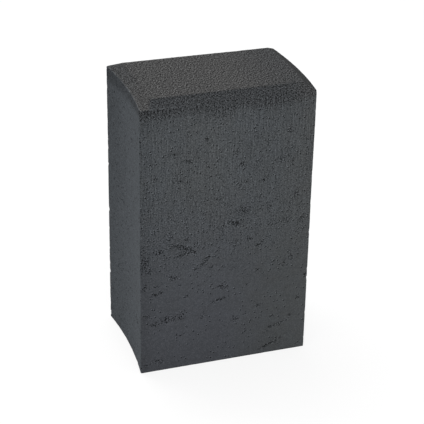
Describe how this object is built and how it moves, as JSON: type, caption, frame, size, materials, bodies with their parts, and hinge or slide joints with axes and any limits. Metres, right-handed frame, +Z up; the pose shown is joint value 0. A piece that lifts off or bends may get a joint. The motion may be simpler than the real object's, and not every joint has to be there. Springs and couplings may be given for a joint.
{
  "type": "concrete palisade",
  "caption": "Upright concrete edging block with a flat front and back, a hollow side, a matching bowed side and a bevelled top.",
  "frame": {"origin": "middle of the block's box, on the base", "axes": "+Z up the block; +Y from the front face to the back face; the hollow side is at -X and the bowed side at +X"},
  "size_m": [0.1838, 0.12, 0.3],
  "materials": {
    "concrete": "dyed anthracite concrete, fine-pored and matt on the moulded faces, coarse and open-grained on the struck top"
  },
  "bodies": {
    "root": {"palisade_block": "concrete"}
  },
  "joints": []
}
